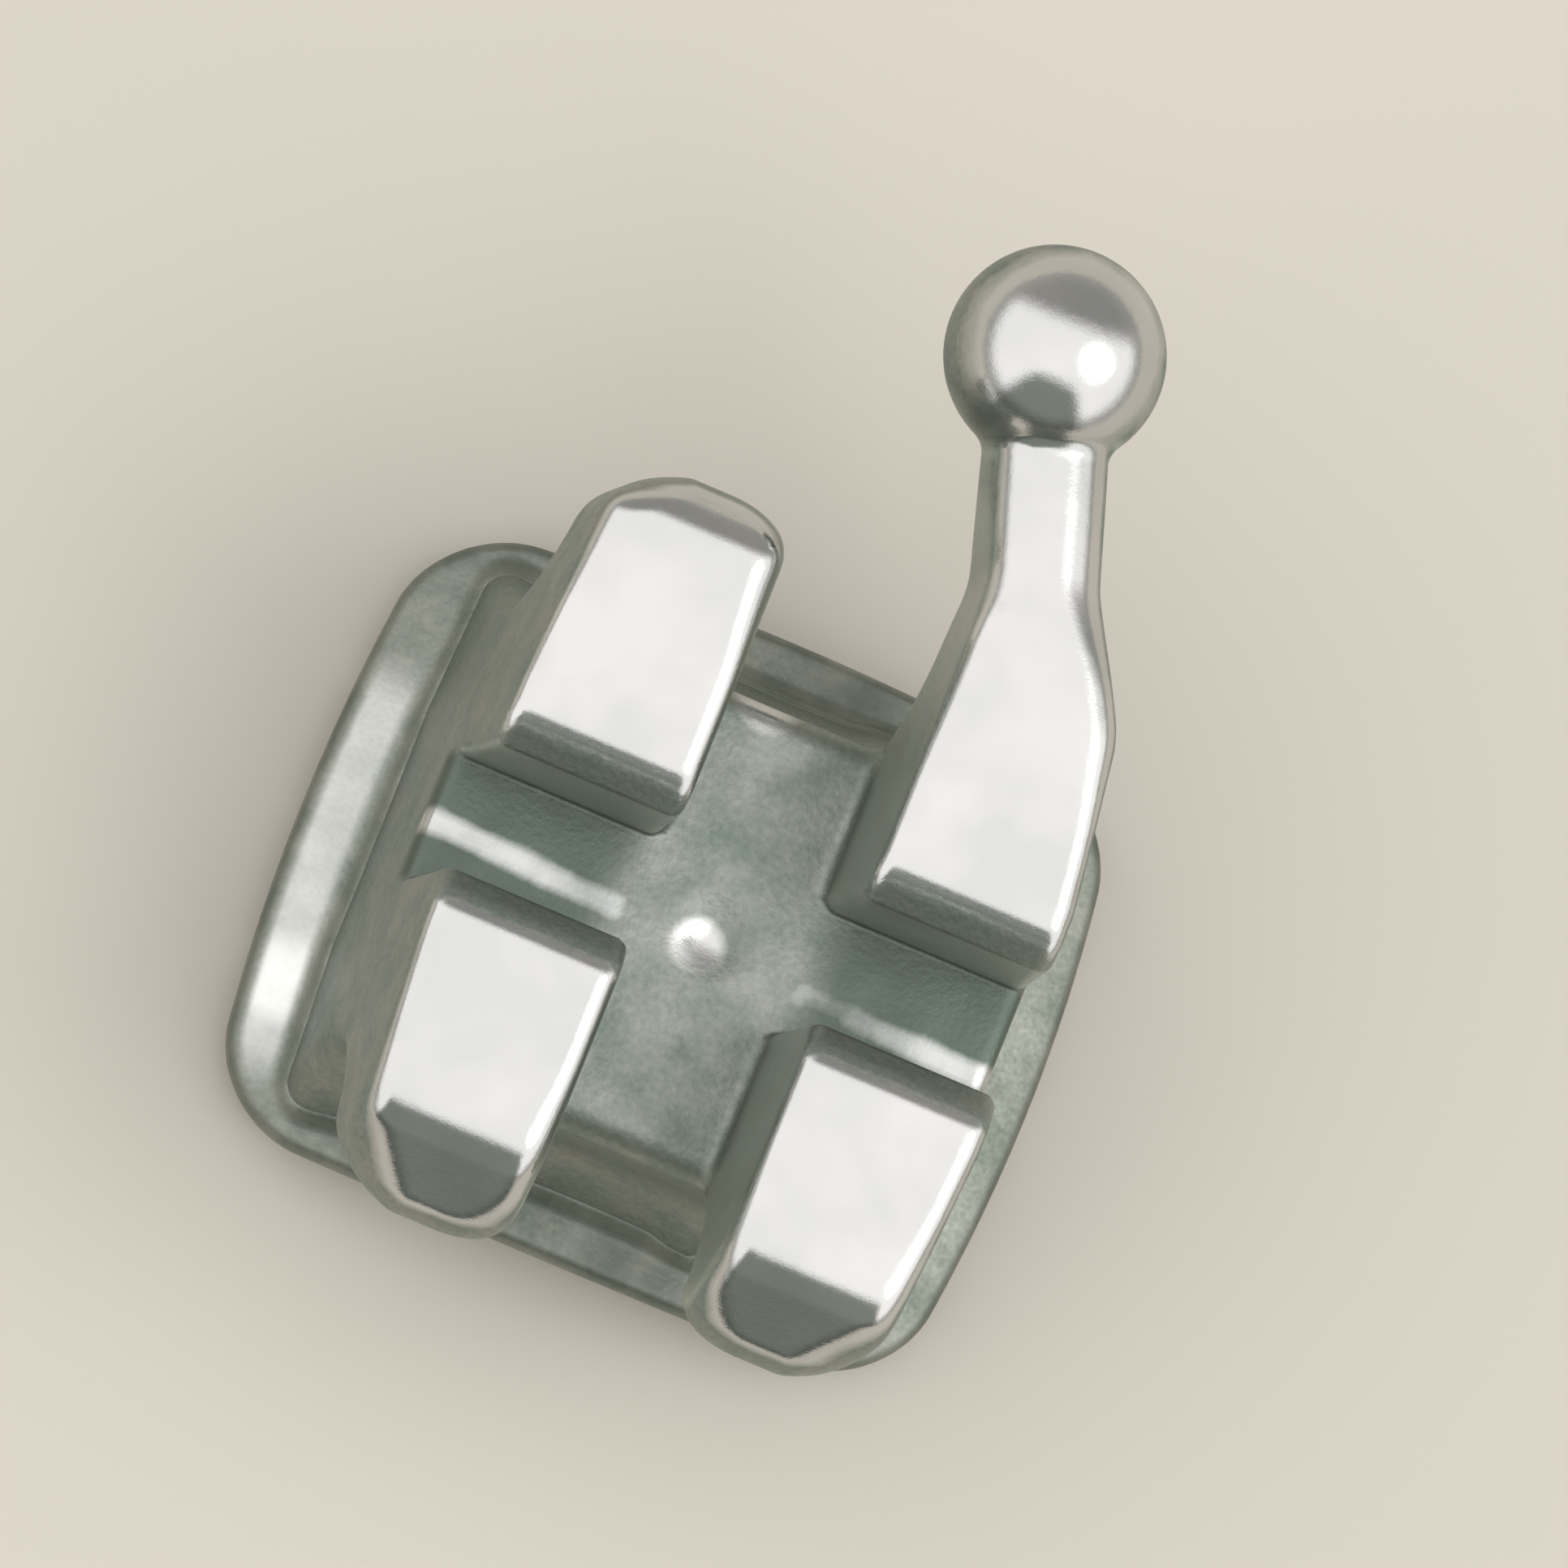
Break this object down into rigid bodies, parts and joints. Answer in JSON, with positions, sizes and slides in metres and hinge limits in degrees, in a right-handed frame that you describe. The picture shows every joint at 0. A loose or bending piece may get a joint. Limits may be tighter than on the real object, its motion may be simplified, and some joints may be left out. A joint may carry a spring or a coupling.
{
  "type": "orthodontic bracket",
  "caption": "Twin edgewise orthodontic bracket with tie wings, an archwire slot, a ball hook and a curved mesh base for bonding to a tooth.",
  "frame": {"origin": "on the plane that the corners of the base stand on, straight under the dimple in the middle of the saddle", "axes": "+X runs along the archwire slot towards the back of the mouth, +Y points towards the gum and the hook, +Z points out of the tooth"},
  "size_m": [0.0034, 0.0049, 0.0024],
  "materials": {
    "casting": "tumbled bright on the wings' faces, satin in the slot and the channel",
    "foil": "satin",
    "mesh": "fine woven wire, matt"
  },
  "bodies": {
    "root": {"bracket_body": "casting", "base_pad": "foil", "base_mesh": "mesh"}
  },
  "joints": []
}
